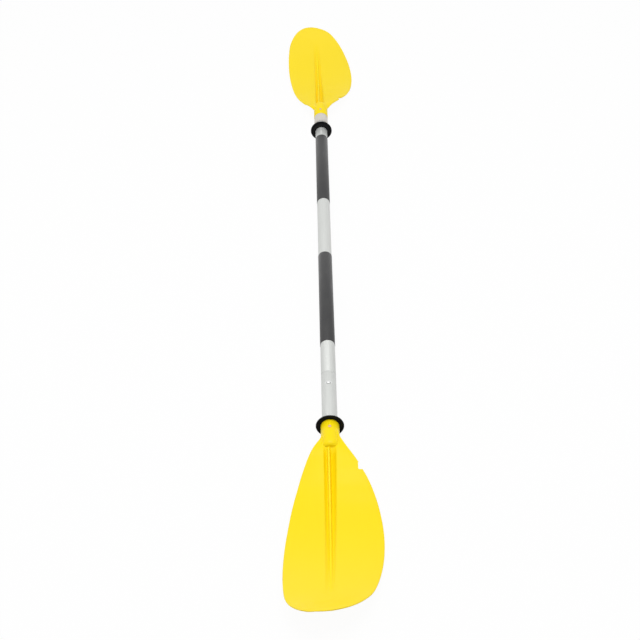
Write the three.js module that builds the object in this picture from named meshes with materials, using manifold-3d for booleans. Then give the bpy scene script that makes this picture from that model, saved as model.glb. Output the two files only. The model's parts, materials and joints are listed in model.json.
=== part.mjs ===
import * as THREE from "three";
import { mergeVertices } from "three/addons/utils/BufferGeometryUtils.js";
import Module from "manifold-3d";

// Double-bladed kayak paddle, lying with its power faces up. Millimetres.
// X runs along the shaft to the far blade, Y to the blades' long edges, Z out of their faces.
// It is built round the shaft's axis, then set down with its box's bottom centre at the origin.

const wasm = await Module();
wasm.setup();

// Overall
const paddleLength = 2128;
const bladeLength = 469; // from the sleeve's mouth to the tip
const shaftDiameter = 30;
const shaftWall = 1.5;

// Gaps between pieces
const bondGap = 0.3; // glue line between pieces that stay together
const filmGap = 0.1; // under a shrunk-on grip
const slideGap = 0.3; // round what slides or turns

// Blade: outline, spoon and walls
const longEdgeReach = 89.4; // furthest that each edge stands from the shaft's axis
const shortEdgeReach = 87.5;
const tipLift = 40.2; // height of the tip over the shaft's axis
const bladeSetOver = 1.3; // the whole blade, from the shaft's axis towards its short edge
const crownHeight = 5; // how far the middle of the face stands over its edges
const bladeThickness = 5;
const edgeThickness = 3;
const edgeRound = 1.6;
const tipThinning = 40; // length over which the plate thins out to the tip's edge

// Blade: channel with its rib in the face, and the spine behind it
const channelHalfWidth = 12.2;
const channelDepth = 10;
const channelOffset = 1.1; // from the shaft's axis to the long edge's side, at the sleeve
const channelDrift = 6.6; // how much further over it is by its end
const spineWall = 3.6;
const ribOffset = 3.6;
const ribDrift = 3;
const ribHalfWidth = 2.5;
const ribCrestHalfWidth = 1.3;
const ribBelowFace = 0.4;

// Blade: sleeve that holds the shaft
const sleeveDiameter = 35.8;
const sleeveOverhang = 2; // how far its mouth stands out over the start of bladeLength
const sleeveInsertion = 54; // how deep the shaft goes in
const sleeveLength = 63;
const sleeveEndRound = 4;
const sleeveLip = 1.2;

// Blade: hook notch in the short edge
const notchStartShare = 0.209; // of bladeLength, from the sleeve's mouth
const notchLength = 16.5;
const notchFloorShare = 0.553; // of shortEdgeReach, from the shaft's axis
const notchCorner = 2.5;

// Rivet through the sleeve's top
const rivetFromMouth = 17.5;
const rivetShankDiameter = 3.2;
const rivetHeadDiameter = 6.4;
const rivetHeadHeight = 1.1;
const rivetTail = 1.6;

// Grips: shares of the way from the paddle's middle to a sleeve's mouth
const nearGripMiddleShare = 0.328;
const nearGripLengthShare = 0.528;
const farGripMiddleShare = 0.56;
const farGripLengthShare = 0.504;
const gripWall = 0.4;

// Take-apart joint
const buttonFromMouth = 112;
const seamFromButton = 35;
const ferruleSeatLength = 90; // the part of it in the main tube
const ferruleReach = 96; // how far it stands out of the main tube
const ferruleWall = 1.6;
const ferruleLead = 3; // tapered lead-in at its free end
const endCapFlange = 2;
const endCapPlug = 10;

// Snap button and its spring
const buttonDiameter = 9;
const buttonProud = 2.2; // height over the shaft
const buttonFlangeDiameter = 12;
const buttonFlange = 1.2;
const springWidth = 9;
const springSheet = 0.8;
const springLeg = 44;

// Drip rings
const ringDiameter = 54.4;
const ringRim = 3.6; // length of the rim along the shaft
const ringCupDepth = 2;
const ringHubDiameter = 43;
const ringHub = 6.4; // how far the hub stands towards the middle
const ringEdgeRound = 1.5;
const ringLipWidth = 2.6;
const farRingFromCollar = 24.7;

// Collar behind the far blade
const collarDiameter = 35;
const collarLength = 37;
const collarTaper = 9;
const collarNoseDiameter = 32.4;

// Foam plugs in the tube ends
const plugLength = 20;
const plugFromEnd = 4;

// One overrun for every cut
const overrun = 2;

// Facets round a turned piece, and steps of a loft
const roundSteps = 48;
const smallRoundSteps = 20;
const bladeSteps = 48;
const spineSteps = 22;
const faceSteps = 10;
const spineRoundSteps = 10;
const channelSteps = 14;
const sleeveRoundSteps = 4;
const domeSteps = 8;

const halfLength = paddleLength / 2;
const mouthX = halfLength - bladeLength;
const shaftRadius = shaftDiameter / 2;
const boreRadius = shaftRadius - shaftWall;
const sleeveX = mouthX - sleeveOverhang;
const shaftEndX = mouthX + sleeveInsertion;
const buttonX = -(mouthX - buttonFromMouth);
const seamX = buttonX + seamFromButton;
const sleeveRadius = sleeveDiameter / 2;
const ferruleRadius = boreRadius - slideGap;
const ferruleBore = ferruleRadius - ferruleWall;

// Edges of the blade from the sleeve to the tip: shares of bladeLength from the sleeve's mouth,
// of the edge's own reach, and of tipLift over the shaft's axis.
const longEdgeShares = [
  [0.0239, 0.155, 0.24], [0.0533, 0.165, 0.23], [0.086, 0.195, 0.195],
  [0.112, 0.312, 0.16], [0.1399, 0.405, 0.159], [0.1757, 0.496, 0.022],
  [0.2158, 0.572, -0.102], [0.2546, 0.638, -0.214], [0.3111, 0.719, -0.358],
  [0.3731, 0.799, -0.455], [0.4401, 0.866, -0.505], [0.5066, 0.917, -0.517],
  [0.5757, 0.961, -0.485], [0.6488, 0.99, -0.393], [0.7235, 1, -0.219], [0.8006, 0.99, 0.022],
  [0.8846, 0.944, 0.299], [0.9271, 0.869, 0.498], [0.9567, 0.772, 0.692],
  [0.9793, 0.65, 0.856], [0.9947, 0.489, 0.965], [0.9987, 0.386, 0.993], [1, 0.268, 1],
];
const shortEdgeShares = [
  [0.0239, 0.14, 0.27], [0.058, 0.15, 0.33], [0.0925, 0.185, 0.385],
  [0.1185, 0.261, 0.37], [0.1415, 0.335, 0.325], [0.1755, 0.45, 0.18],
  [0.2055, 0.551, 0.045], [0.2424, 0.642, -0.057], [0.2738, 0.723, -0.162],
  [0.3068, 0.79, -0.269], [0.3475, 0.855, -0.366], [0.4028, 0.923, -0.493],
  [0.4684, 0.973, -0.57], [0.5424, 1, -0.59], [0.6222, 0.991, -0.547], [0.7066, 0.941, -0.435],
  [0.7921, 0.842, -0.229], [0.8633, 0.714, 0.057], [0.913, 0.56, 0.381],
  [0.9537, 0.377, 0.684], [0.9763, 0.197, 0.843], [0.9928, -0.037, 0.953],
  [0.9983, -0.177, 0.993], [1, -0.274, 1],
];
const channelStartShare = 0.13;
const channelEndShare = 0.875;
const channelEndWidthShare = 0.72; // half-width at its end, of channelHalfWidth
const channelFade = 0.75; // below 1 the channel keeps its depth longer
const channelBowl = 2.6; // 2 is a round floor, more is a flatter one
const spineStartShare = 0.115;
const spineBlendShare = 0.22; // length over which the sleeve's back runs out into the spine

// Materials
function plastic(color, roughness) {
  return new THREE.MeshStandardMaterial({ color, roughness, metalness: 0 });
}

function metal(color, roughness) {
  return new THREE.MeshStandardMaterial({ color, roughness, metalness: 1 });
}

const bladeYellow = plastic(0xfde22c, 0.42);
const shaftCoat = plastic(0xd0d1cf, 0.38);
const gripBlack = plastic(0x4a4a4b, 0.7);
const ringRubber = plastic(0x1c1c1b, 0.6);
const collarGrey = plastic(0xd2cbbe, 0.45);
const foamWhite = plastic(0xe6e4dc, 0.95);
const capNylon = plastic(0x2a2a2a, 0.6);
const bareAluminium = metal(0xb8babd, 0.35);
const springSteel = metal(0x8f9296, 0.3);
const buttonSteel = metal(0xe4e5e6, 0.18);

// Solid work
function solidOf(geometry) {
  const bare = geometry.index ? geometry.toNonIndexed() : geometry.clone();
  const positions = new THREE.BufferGeometry();
  positions.setAttribute("position", bare.getAttribute("position"));
  const merged = mergeVertices(positions, 1e-4);
  return new wasm.Manifold(new wasm.Mesh({
    numProp: 3,
    vertProperties: merged.attributes.position.array,
    triVerts: new Uint32Array(merged.index.array),
  }));
}

function geometryOf(solid) {
  const mesh = solid.getMesh();
  const geometry = new THREE.BufferGeometry();
  geometry.setAttribute("position", new THREE.BufferAttribute(mesh.vertProperties, 3));
  geometry.setIndex(new THREE.BufferAttribute(mesh.triVerts, 1));
  return geometry;
}

// Turned piece on the X axis. Its profile's points are [x, radius]; x rises along the outside.
function turned(profile, steps = roundSteps) {
  const points = profile.map(([x, radius]) => new THREE.Vector2(radius, x));
  const lathe = new THREE.LatheGeometry(points, steps);
  lathe.rotateZ(-Math.PI / 2);
  return solidOf(lathe);
}

// Rod along X, and rod along Z.
function rodAlongX(fromX, toX, radius, steps = roundSteps) {
  return turned([[fromX, 0], [fromX, radius], [toX, radius], [toX, 0]], steps);
}

function rodAlongZ(x, fromZ, toZ, radius) {
  const rod = new THREE.CylinderGeometry(radius, radius, toZ - fromZ, smallRoundSteps);
  rod.rotateX(Math.PI / 2);
  rod.translate(x, 0, (fromZ + toZ) / 2);
  return solidOf(rod);
}

// Tube on the X axis, closed as a ring.
function tube(fromX, toX, outerRadius, innerRadius) {
  return turned([
    [fromX, innerRadius], [fromX, outerRadius], [toX, outerRadius],
    [toX, innerRadius], [fromX, innerRadius],
  ]);
}

// Loft through rings of equal point count, closed at both ends by a fan.
function loft(rings) {
  const count = rings[0].length;
  const triangles = [];
  const middleOf = (ring) => ring
    .reduce((sum, point) => sum.add(point), new THREE.Vector3())
    .divideScalar(count);
  for (let i = 0; i + 1 < rings.length; i += 1) {
    for (let j = 0; j < count; j += 1) {
      const k = (j + 1) % count;
      const [a, b] = [rings[i][j], rings[i][k]];
      const [c, d] = [rings[i + 1][k], rings[i + 1][j]];
      triangles.push(a, b, c, a, c, d);
    }
  }
  const first = middleOf(rings[0]);
  const last = middleOf(rings[rings.length - 1]);
  for (let j = 0; j < count; j += 1) {
    const k = (j + 1) % count;
    triangles.push(rings[0][k], rings[0][j], first);
    triangles.push(rings[rings.length - 1][j], rings[rings.length - 1][k], last);
  }
  const solid = solidOf(new THREE.BufferGeometry().setFromPoints(triangles));
  if (solid.volume() < 0) throw new Error("a loft is inside out");
  return solid;
}

// Edge curves of the blade, in its own frame: x from the sleeve's mouth, y to the long edge.
function edgeCurve(shares, reach) {
  const points = shares.map(([x, y, z]) => (
    new THREE.Vector3(x * bladeLength, y * reach - bladeSetOver, z * tipLift)
  ));
  return new THREE.CatmullRomCurve3(points, false, "centripetal").getPoints(shares.length * 12);
}

const longEdge = edgeCurve(longEdgeShares, longEdgeReach);
const shortEdge = edgeCurve(shortEdgeShares, -shortEdgeReach);

function edgeAt(curve, x) {
  const next = curve.findIndex((point) => point.x >= x);
  if (next === 0) return curve[0];
  if (next < 0) return curve[curve.length - 1];
  const [a, b] = [curve[next - 1], curve[next]];
  return a.clone().lerp(b, (x - a.x) / (b.x - a.x));
}

// Height of the power face at (x, y): the line between the edges, plus its crown.
function faceAt(x, y) {
  const low = edgeAt(shortEdge, x);
  const high = edgeAt(longEdge, x);
  const share = THREE.MathUtils.clamp((y - low.y) / (high.y - low.y), 0, 1);
  const crown = (crownHeight * (high.y - low.y)) / (longEdgeReach + shortEdgeReach);
  return THREE.MathUtils.lerp(low.z, high.z, share) + crown * 4 * share * (1 - share);
}

// Stations bunched towards both ends of a stretch.
function stations(from, to, count) {
  return Array.from({ length: count + 1 }, (_, i) => (
    from + ((to - from) * (1 - Math.cos((Math.PI * i) / count))) / 2
  ));
}

// One cross-section of the plate, from the short edge over the face to the long edge and back.
function plateRing(x) {
  const low = edgeAt(shortEdge, x).y;
  const high = edgeAt(longEdge, x).y;
  const round = Math.min(edgeRound, (high - low) / 6);
  const bevel = round * (1 - Math.SQRT1_2);
  const toTip = bladeLength - x;
  const inner = Math.min(toTip / tipThinning, 1);
  const edgeHere = edgeThickness * Math.sqrt(Math.min(toTip / edgeThickness, 1));
  const thicknessAt = (y) => {
    const share = (y - low) / (high - low);
    return edgeHere + (bladeThickness - edgeThickness) * 4 * share * (1 - share) * inner;
  };
  const dropShare = edgeHere / edgeThickness;
  const at = (y, drop) => new THREE.Vector3(x, y, faceAt(x, y) - drop * dropShare);
  const atFull = (y, drop) => new THREE.Vector3(x, y, faceAt(x, y) - drop);
  const ys = Array.from({ length: faceSteps + 1 }, (_, i) => (
    THREE.MathUtils.lerp(low + round, high - round, i / faceSteps)
  ));
  const under = ys.map((y) => atFull(y, thicknessAt(y)));
  const over = ys.map((y) => at(y, 0)).reverse();
  return [
    at(low, edgeThickness / 2), at(low + bevel, edgeThickness - bevel), ...under,
    at(high - bevel, edgeThickness - bevel), at(high, edgeThickness / 2),
    at(high - bevel, bevel), ...over, at(low + bevel, bevel),
  ];
}

function plate() {
  const from = longEdgeShares[0][0] * bladeLength;
  return loft(stations(from, bladeLength, bladeSteps).slice(0, -1).map(plateRing));
}

// Channel, spine and rib share one run down the middle of the blade.
const channelFrom = channelStartShare * bladeLength;
const channelTo = channelEndShare * bladeLength;

function channelShare(x) {
  return THREE.MathUtils.clamp((x - channelFrom) / (channelTo - channelFrom), 0, 1);
}

function channelMiddleAt(x) {
  return channelOffset + channelDrift * channelShare(x);
}

function ribMiddleAt(x) {
  return ribOffset + ribDrift * channelShare(x);
}

// How much of the sleeve is left in the spine: 1 at its start, 0 where it has run out.
function sleeveShareAt(x) {
  const along = (x / bladeLength - spineStartShare) / spineBlendShare;
  return 0.5 + 0.5 * Math.cos(Math.PI * THREE.MathUtils.clamp(along, 0, 1));
}

function channelHalfWidthAt(x) {
  return channelHalfWidth * THREE.MathUtils.lerp(1, channelEndWidthShare, channelShare(x));
}

function channelDepthAt(x) {
  return channelDepth * (1 - channelShare(x)) ** channelFade;
}

// Lower half of an ellipse hung under the face, as a ring.
function hungRing(x, middle, sunk, halfWidth, depth) {
  const topHeight = faceAt(x, channelMiddleAt(x)) - sunk;
  return Array.from({ length: spineRoundSteps + 1 }, (_, i) => {
    const angle = (Math.PI * i) / spineRoundSteps;
    const y = middle - halfWidth * Math.cos(angle);
    const z = Math.min(topHeight - depth * Math.sin(angle), faceAt(x, y) - sunk);
    return new THREE.Vector3(x, y, z);
  });
}

function spine() {
  const sunk = bladeThickness / 4;
  const from = spineStartShare * bladeLength;
  const to = channelTo + spineWall;
  return loft(stations(from, to, spineSteps).map((x) => {
    const top = faceAt(x, channelMiddleAt(x)) - sunk;
    const share = sleeveShareAt(x);
    const ownDepth = Math.max(channelDepthAt(x) + spineWall - sunk, bladeThickness - 1.5 * sunk);
    return hungRing(
      x,
      THREE.MathUtils.lerp(channelMiddleAt(x), 0, share),
      sunk,
      THREE.MathUtils.lerp(channelHalfWidthAt(x) + spineWall, sleeveRadius - sunk / 2, share),
      THREE.MathUtils.lerp(ownDepth, top + sleeveRadius - sunk / 2, share),
    );
  }));
}

// Cutter of the channel: it hangs from the face itself, with sloping sides and a flatter floor.
function channel() {
  const runs = stations(channelFrom, channelTo, spineSteps).slice(0, -1);
  return loft(runs.map((x) => {
    const shares = Array.from({ length: channelSteps + 1 }, (_, i) => (
      -Math.cos((Math.PI * i) / channelSteps)
    ));
    const at = (across, rise) => {
      const y = channelMiddleAt(x) + channelHalfWidthAt(x) * across;
      return new THREE.Vector3(x, y, faceAt(x, y) + rise);
    };
    const bed = shares.map((across) => (
      at(across, -channelDepthAt(x) * (1 - Math.abs(across) ** channelBowl))
    ));
    return [...bed, at(1, overrun), at(0, overrun), at(-1, overrun)];
  }));
}

function rib() {
  const runs = stations(channelFrom, channelTo - spineWall, spineSteps);
  return loft(runs.map((x) => {
    const face = faceAt(x, ribMiddleAt(x));
    const crest = face - ribBelowFace;
    const foot = face - channelDepthAt(x) - spineWall / 2;
    const at = (y, z) => new THREE.Vector3(x, ribMiddleAt(x) + y, z);
    return [
      at(-ribHalfWidth, foot), at(ribHalfWidth, foot),
      at(ribCrestHalfWidth, crest), at(-ribCrestHalfWidth, crest),
    ];
  }));
}

// Sleeve with a closed, blunt end that stands on the face.
function sleeve() {
  const roundFrom = sleeveLength - sleeveEndRound;
  const round = Array.from({ length: sleeveRoundSteps + 1 }, (_, i) => {
    const angle = (Math.PI * i) / (2 * sleeveRoundSteps);
    return [
      roundFrom + sleeveEndRound * Math.sin(angle),
      sleeveRadius - sleeveEndRound * (1 - Math.cos(angle)),
    ];
  });
  return turned([
    [-sleeveOverhang, 0], [-sleeveOverhang, sleeveRadius - sleeveLip],
    [sleeveLip - sleeveOverhang, sleeveRadius],
    ...round, [sleeveLength, 0],
  ]);
}

function sleeveBore() {
  const from = -(sleeveOverhang + overrun);
  return rodAlongX(from, sleeveInsertion + bondGap, shaftRadius + bondGap);
}

// Cutter of the hook notch: open to the short edge, square at its tip end.
function notch() {
  const outer = -(shortEdgeReach + bladeSetOver + overrun);
  const floor = -(notchFloorShare * shortEdgeReach + bladeSetOver);
  const start = notchStartShare * bladeLength;
  const end = start + notchLength;
  const shape = new THREE.Shape();
  shape.moveTo(start, floor);
  shape.lineTo(start, outer);
  shape.lineTo(end, outer);
  shape.lineTo(end, floor - notchCorner);
  shape.quadraticCurveTo(end, floor, end - notchCorner, floor);
  shape.closePath();
  const cutter = new THREE.ExtrudeGeometry(shape, {
    depth: 2 * tipLift,
    bevelEnabled: false,
    curveSegments: 4,
  });
  cutter.translate(0, 0, -tipLift);
  return solidOf(cutter);
}

const rivetHoleRadius = rivetShankDiameter / 2 + bondGap;

function rivetHole(x) {
  return rodAlongZ(x, 0, sleeveRadius + overrun, rivetHoleRadius);
}

function bladeSolid() {
  const pressed = plate().add(spine()).subtract(channel()).add(rib());
  return pressed
    .add(sleeve())
    .subtract(sleeveBore())
    .subtract(notch())
    .subtract(rivetHole(rivetFromMouth));
}

// Pop rivet: domed head on the sleeve, shank through both walls, flared tail inside the shaft.
function rivetGeometry() {
  const headRadius = rivetHeadDiameter / 2;
  const shankRadius = rivetShankDiameter / 2;
  const seat = sleeveRadius + bondGap;
  const tailTop = boreRadius - bondGap;
  const profile = [
    [0, tailTop - rivetTail], [shankRadius * 1.4, tailTop - rivetTail],
    [shankRadius * 1.4, tailTop], [shankRadius, tailTop],
    [shankRadius, seat], [headRadius, seat],
    [headRadius * 0.8, seat + rivetHeadHeight * 0.7], [0, seat + rivetHeadHeight],
  ].map(([radius, z]) => new THREE.Vector2(radius, z));
  const rivet = new THREE.LatheGeometry(profile, smallRoundSteps);
  rivet.rotateX(Math.PI / 2);
  return rivet;
}

// Shaft tubes
function mainTube() {
  const rivetX = mouthX + rivetFromMouth;
  return tube(seamX + slideGap / 2, shaftEndX, shaftRadius, boreRadius)
    .subtract(rivetHole(rivetX));
}

const buttonHoleRadius = buttonDiameter / 2 + slideGap;

function nearTube() {
  const rivetX = -(mouthX + rivetFromMouth);
  return tube(-shaftEndX, seamX - slideGap / 2, shaftRadius, boreRadius)
    .subtract(rivetHole(rivetX))
    .subtract(rodAlongZ(buttonX, 0, shaftRadius + overrun, buttonHoleRadius));
}

// Ferrule of the take-apart joint, open at its shaft end and tapered at its free end.
const ferruleFrom = seamX - ferruleReach;
const ferruleTo = seamX + ferruleSeatLength;

function ferrule() {
  const shell = turned([
    [ferruleFrom, ferruleBore], [ferruleFrom, ferruleRadius - ferruleWall / 2],
    [ferruleFrom + ferruleLead, ferruleRadius], [ferruleTo, ferruleRadius],
    [ferruleTo, ferruleBore], [ferruleFrom, ferruleBore],
  ]);
  return shell.subtract(
    rodAlongZ(buttonX, 0, shaftRadius, buttonHoleRadius),
  );
}

// Cap that keeps water out of the ferrule: a flange on its end and a plug in its bore.
function ferruleCap() {
  const flangeRadius = ferruleRadius - ferruleWall / 2;
  const plugRadius = ferruleBore - bondGap;
  const seat = ferruleFrom - bondGap;
  const profile = [
    [seat - endCapFlange, 0], [seat - endCapFlange, flangeRadius], [seat, flangeRadius],
    [seat, plugRadius], [seat + endCapPlug, plugRadius], [seat + endCapPlug, 0],
  ];
  return turned(profile);
}

// Snap button: domed head through both walls, on a flange that stops it under the ferrule.
const flangeTop = Math.sqrt(ferruleBore ** 2 - (buttonFlangeDiameter / 2) ** 2) - slideGap;

function buttonGeometry() {
  const radius = buttonDiameter / 2;
  const crest = shaftRadius + buttonProud;
  const shoulder = shaftRadius + buttonProud / 3;
  const dome = Array.from({ length: domeSteps - 1 }, (_, i) => {
    const angle = (Math.PI * (i + 1)) / (2 * domeSteps);
    return [radius * Math.cos(angle), shoulder + (crest - shoulder) * Math.sin(angle)];
  });
  const profile = [
    [0, flangeTop - buttonFlange], [buttonFlangeDiameter / 2, flangeTop - buttonFlange],
    [buttonFlangeDiameter / 2, flangeTop], [radius, flangeTop],
    [radius, shoulder], ...dome, [0, crest],
  ].map(([r, z]) => new THREE.Vector2(r, z));
  const button = new THREE.LatheGeometry(profile, 2 * smallRoundSteps);
  button.rotateX(Math.PI / 2);
  button.translate(buttonX, 0, 0);
  return button;
}

// Leaf spring: a V of sheet lying in the ferrule, its upper leg flat under the button.
function springGeometry() {
  const top = flangeTop - buttonFlange - slideGap;
  const halfWidth = springWidth / 2;
  const bottom = -(Math.sqrt(ferruleBore ** 2 - halfWidth ** 2) - slideGap);
  const pad = buttonFlangeDiameter / 2;
  const bend = springLeg - pad;
  const shape = new THREE.Shape();
  shape.moveTo(-pad, top);
  shape.lineTo(-pad, top - springSheet);
  shape.lineTo(pad, top - springSheet);
  shape.lineTo(bend - 2 * springSheet, 0);
  shape.lineTo(-pad, bottom + springSheet);
  shape.lineTo(-pad, bottom);
  shape.lineTo(0, bottom);
  shape.quadraticCurveTo(bend, -2 * springSheet, bend, 0);
  shape.quadraticCurveTo(bend, 2 * springSheet, pad, top);
  shape.closePath();
  const leaf = new THREE.ExtrudeGeometry(shape, {
    depth: springWidth,
    bevelEnabled: false,
    curveSegments: 6,
  });
  leaf.rotateX(Math.PI / 2);
  leaf.translate(buttonX, halfWidth, 0);
  return leaf;
}

// Grip: thin sleeve shrunk onto the tube.
function gripGeometry(middleShare, lengthShare) {
  const inner = shaftRadius + filmGap;
  const from = (middleShare - lengthShare / 2) * mouthX;
  return geometryOf(tube(from, from + lengthShare * mouthX, inner + gripWall, inner));
}

// Drip ring in its own frame: its cup opens at x = 0, its hub stands to +x.
const ringLength = ringRim + ringHub;

function ringGeometry() {
  const bore = shaftRadius + slideGap;
  const outer = ringDiameter / 2;
  const hub = ringHubDiameter / 2;
  const profile = [
    [ringCupDepth, bore], [ringCupDepth, hub - ringEdgeRound],
    [ringEdgeRound, outer - ringLipWidth - ringEdgeRound], [0, outer - ringLipWidth],
    [0, outer - ringEdgeRound], [ringEdgeRound, outer],
    [ringRim - ringEdgeRound, outer], [ringRim, outer - ringEdgeRound],
    [ringRim, hub], [ringLength - ringEdgeRound, hub - ringEdgeRound / 2],
    [ringLength, hub - 1.5 * ringEdgeRound], [ringLength, bore + ringEdgeRound],
    [ringLength - ringEdgeRound, bore], [ringCupDepth, bore],
  ];
  return geometryOf(turned(profile));
}

// Collar on the far tube, tapered towards the drip ring, seated against the sleeve.
const collarTo = sleeveX - bondGap;
const collarFrom = collarTo - collarLength;

function collarGeometry() {
  const inner = shaftRadius + bondGap;
  const [from, to] = [collarFrom, collarTo];
  const taperHalf = from + collarTaper / 3;
  const outer = collarDiameter / 2;
  const nose = collarNoseDiameter / 2;
  return geometryOf(turned([
    [from, inner], [from, nose],
    [taperHalf, (outer + 2 * nose) / 3 + (outer - nose) / 4],
    [from + collarTaper, outer], [to, outer], [to, inner], [from, inner],
  ]));
}

function plugGeometry(endX, side) {
  const near = endX - side * plugFromEnd;
  const ends = [near, near - side * plugLength].sort((a, b) => a - b);
  return geometryOf(rodAlongX(ends[0], ends[1], boreRadius - bondGap));
}

// Assembly
const paddle = new THREE.Group();

function place(name, geometry, material, x = 0, mirrored = false) {
  const mesh = new THREE.Mesh(geometry, material);
  mesh.name = name;
  mesh.position.x = x;
  if (mirrored) mesh.scale.x = -1;
  paddle.add(mesh);
}

const blade = geometryOf(bladeSolid());
place("far_blade", blade, bladeYellow, mouthX);
place("near_blade", blade, bladeYellow, -mouthX, true);
place("far_blade_rivet", rivetGeometry(), bareAluminium, mouthX + rivetFromMouth);
place("near_blade_rivet", rivetGeometry(), bareAluminium, -(mouthX + rivetFromMouth));

place("main_shaft_tube", geometryOf(mainTube()), shaftCoat);
place("near_shaft_tube", geometryOf(nearTube()), shaftCoat);
place("near_grip", gripGeometry(-nearGripMiddleShare, nearGripLengthShare), gripBlack);
place("far_grip", gripGeometry(farGripMiddleShare, farGripLengthShare), gripBlack);
place("far_collar", collarGeometry(), collarGrey);

place("joint_ferrule", geometryOf(ferrule()), bareAluminium);
place("ferrule_end_cap", geometryOf(ferruleCap()), capNylon);
place("snap_button", buttonGeometry(), buttonSteel);
place("button_spring", springGeometry(), springSteel);

place("far_drip_ring", ringGeometry(), ringRubber, collarFrom - farRingFromCollar, true);
place("near_drip_ring", ringGeometry(), ringRubber, -(sleeveX + ringCupDepth - slideGap));
place("far_foam_plug", plugGeometry(shaftEndX, 1), foamWhite);
place("near_foam_plug", plugGeometry(-shaftEndX, -1), foamWhite);

// Set down: the box's bottom centre goes to the origin.
const box = new THREE.Box3().setFromObject(paddle);
const middle = box.getCenter(new THREE.Vector3());
paddle.children.forEach((mesh) => mesh.position.sub(new THREE.Vector3(middle.x, middle.y, box.min.z)));

export default paddle;
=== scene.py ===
import bisect
import json
import math

import bpy
from mathutils import Matrix, Vector
from mathutils.geometry import interpolate_bezier


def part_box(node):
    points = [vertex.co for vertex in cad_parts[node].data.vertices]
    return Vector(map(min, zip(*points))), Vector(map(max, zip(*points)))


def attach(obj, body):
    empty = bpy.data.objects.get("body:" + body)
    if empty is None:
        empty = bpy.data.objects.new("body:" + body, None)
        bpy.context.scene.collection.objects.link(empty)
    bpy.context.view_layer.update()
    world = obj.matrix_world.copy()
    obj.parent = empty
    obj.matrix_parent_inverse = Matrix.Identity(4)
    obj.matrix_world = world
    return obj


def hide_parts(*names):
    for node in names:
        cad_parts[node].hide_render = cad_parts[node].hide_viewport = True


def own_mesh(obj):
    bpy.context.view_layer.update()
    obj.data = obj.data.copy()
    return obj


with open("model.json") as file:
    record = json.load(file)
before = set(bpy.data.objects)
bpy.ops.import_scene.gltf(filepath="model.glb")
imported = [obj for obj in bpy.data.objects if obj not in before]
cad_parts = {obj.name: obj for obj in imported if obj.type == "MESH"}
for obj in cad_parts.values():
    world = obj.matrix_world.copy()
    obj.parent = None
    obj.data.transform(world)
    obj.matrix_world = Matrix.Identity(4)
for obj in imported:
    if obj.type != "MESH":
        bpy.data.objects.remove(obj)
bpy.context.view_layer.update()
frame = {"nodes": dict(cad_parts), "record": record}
nodes = frame["nodes"]

# the shaft's axis in the row frame, read off the main tube
tubeLow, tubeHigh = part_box("main_shaft_tube")
axisY = (tubeLow.y + tubeHigh.y) / 2
axisZ = (tubeLow.z + tubeHigh.z) / 2
print("frame loaded, shaft axis at", round(axisY, 5), round(axisZ, 5))


# camera, as it stood over the near blade
cameraSetup = {
    "place": (-2.34468, -0.04952, 1.64201),  # from a point on the shaft's axis, midway between the tips
    "right": (-0.013895, -0.998306, -0.056497),
    "down": (-0.619967, 0.052933, -0.782841),
    "forward": (0.784505, 0.024149, -0.619652),
    "lens": 70.59,
    "sensor": 36,
    "clip": (0.05, 50),
}


def makeCamera(setup):
    data = bpy.data.cameras.new("camera")
    camera = bpy.data.objects.new("camera", data)
    bpy.context.scene.collection.objects.link(camera)
    right, down, forward = (Vector(setup[k]) for k in ("right", "down", "forward"))
    turn = Matrix((right, -down, -forward)).transposed().to_4x4()
    camera.matrix_world = Matrix.Translation(Vector(setup["place"]) + Vector((0, axisY, axisZ))) @ turn
    data.lens = setup["lens"]
    data.sensor_width = setup["sensor"]
    data.clip_start, data.clip_end = setup["clip"]
    bpy.context.scene.camera = camera


makeCamera(cameraSetup)
print("camera set")


# shader maths written as expressions
class Val:
    def __init__(self, tree, socket):
        self.tree = tree
        self.socket = socket

    def math(self, operation, a, b=None):
        node = self.tree.nodes.new("ShaderNodeMath")
        node.operation = operation
        for i, v in enumerate((a, b)):
            if isinstance(v, Val):
                self.tree.links.new(v.socket, node.inputs[i])
            elif v is not None:
                node.inputs[i].default_value = v
        return Val(self.tree, node.outputs[0])

    def __add__(self, o): return self.math("ADD", self, o)
    def __radd__(self, o): return self.math("ADD", o, self)
    def __sub__(self, o): return self.math("SUBTRACT", self, o)
    def __rsub__(self, o): return self.math("SUBTRACT", o, self)
    def __mul__(self, o): return self.math("MULTIPLY", self, o)
    def __truediv__(self, o): return self.math("DIVIDE", self, o)
    def __pow__(self, o): return self.math("POWER", self, o)
    def __abs__(self): return self.math("ABSOLUTE", self)

    def step(self, low, high):
        node = self.tree.nodes.new("ShaderNodeMapRange")
        node.interpolation_type = "SMOOTHSTEP"
        node.inputs["From Min"].default_value = low
        node.inputs["From Max"].default_value = high
        self.tree.links.new(self.socket, node.inputs["Value"])
        return Val(self.tree, node.outputs["Result"])


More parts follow.
